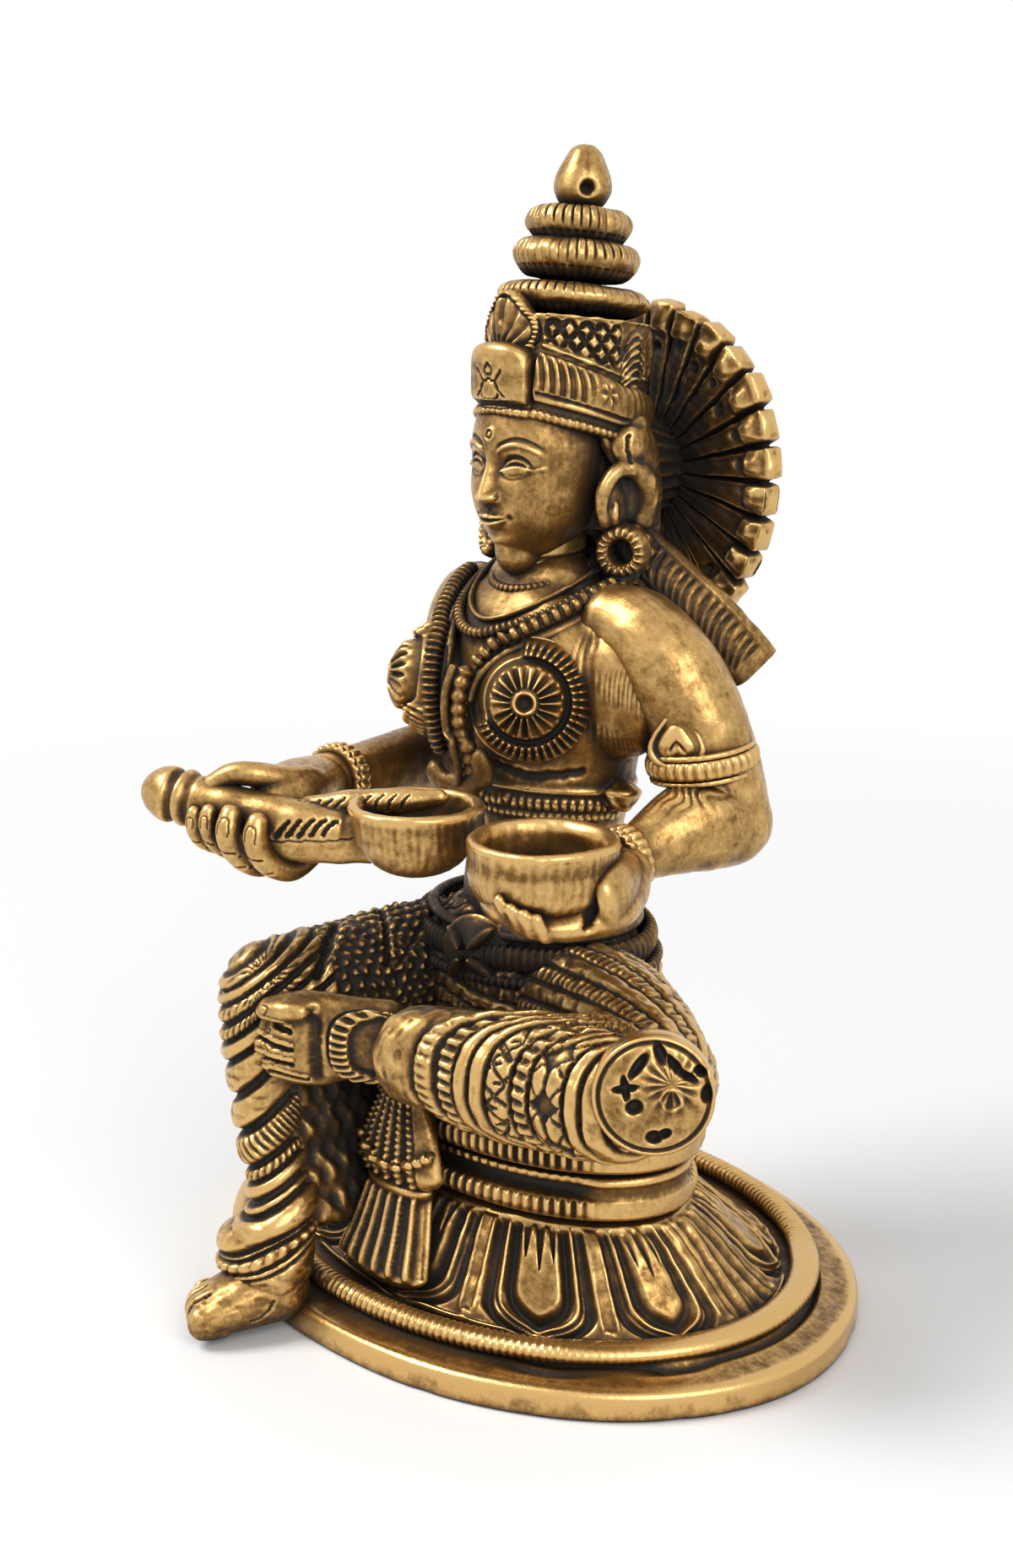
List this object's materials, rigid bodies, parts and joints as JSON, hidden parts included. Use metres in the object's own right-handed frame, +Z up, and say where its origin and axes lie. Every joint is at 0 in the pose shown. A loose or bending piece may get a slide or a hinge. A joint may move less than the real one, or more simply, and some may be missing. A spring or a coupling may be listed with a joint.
{
  "type": "goddess idol",
  "caption": "Small cast brass idol of a seated goddess with a ladle and food pot, a round halo and tiered crown, on an oval lotus pedestal.",
  "frame": {"origin": "centre of the flat underside of the base plate", "axes": "+Z up, -Y the way she faces, +X her left"},
  "size_m": [0.0926, 0.0833, 0.1405],
  "materials": {
    "cast_brass": "antique cast brass, bright tan on the high spots and brown-black patina in the recesses",
    "worn_edge_brass": "antique cast brass with file marks, worn brighter at the rim"
  },
  "bodies": {
    "root": {"base_plate": "worn_edge_brass", "rope_border": "cast_brass", "lotus_skirt": "cast_brass", "drum_ring_lower": "cast_brass", "drum_ring_upper": "cast_brass", "seat_cushion": "cast_brass", "hips_skirt": "cast_brass", "torso": "cast_brass", "neck": "cast_brass", "head": "cast_brass", "girdle": "cast_brass", "waist_knot": "cast_brass", "left_thigh": "cast_brass", "left_shin": "cast_brass", "left_knee_rosette": "cast_brass", "left_foot": "cast_brass", "right_thigh": "cast_brass", "right_shin_drape": "cast_brass", "leg_web": "cast_brass", "right_foot": "cast_brass", "front_cloth_upper": "cast_brass", "front_cloth_lower": "cast_brass", "left_breast_cover": "cast_brass", "right_breast_cover": "cast_brass", "choker": "cast_brass", "collar_necklace": "cast_brass", "long_garland": "cast_brass", "left_upper_arm": "cast_brass", "left_forearm": "cast_brass", "right_upper_arm": "cast_brass", "right_forearm": "cast_brass", "left_armlet": "cast_brass", "right_armlet": "cast_brass", "left_bracelet": "cast_brass", "right_bracelet": "cast_brass", "food_pot": "cast_brass", "left_hand": "cast_brass", "ladle_bowl": "cast_brass", "ladle_handle": "cast_brass", "right_hand": "cast_brass", "back_hair": "cast_brass", "halo_wheel": "cast_brass", "left_ear": "cast_brass", "right_ear": "cast_brass", "left_earring": "cast_brass", "right_earring": "cast_brass", "headband": "cast_brass", "crown_drum": "cast_brass", "crown_ring_lower": "cast_brass", "crown_ring_middle": "cast_brass", "crown_ring_upper": "cast_brass", "crown_finial": "cast_brass", "crown_front_leaf": "cast_brass", "left_shoulder_ribbon": "cast_brass", "right_shoulder_ribbon": "cast_brass"}
  },
  "joints": []
}
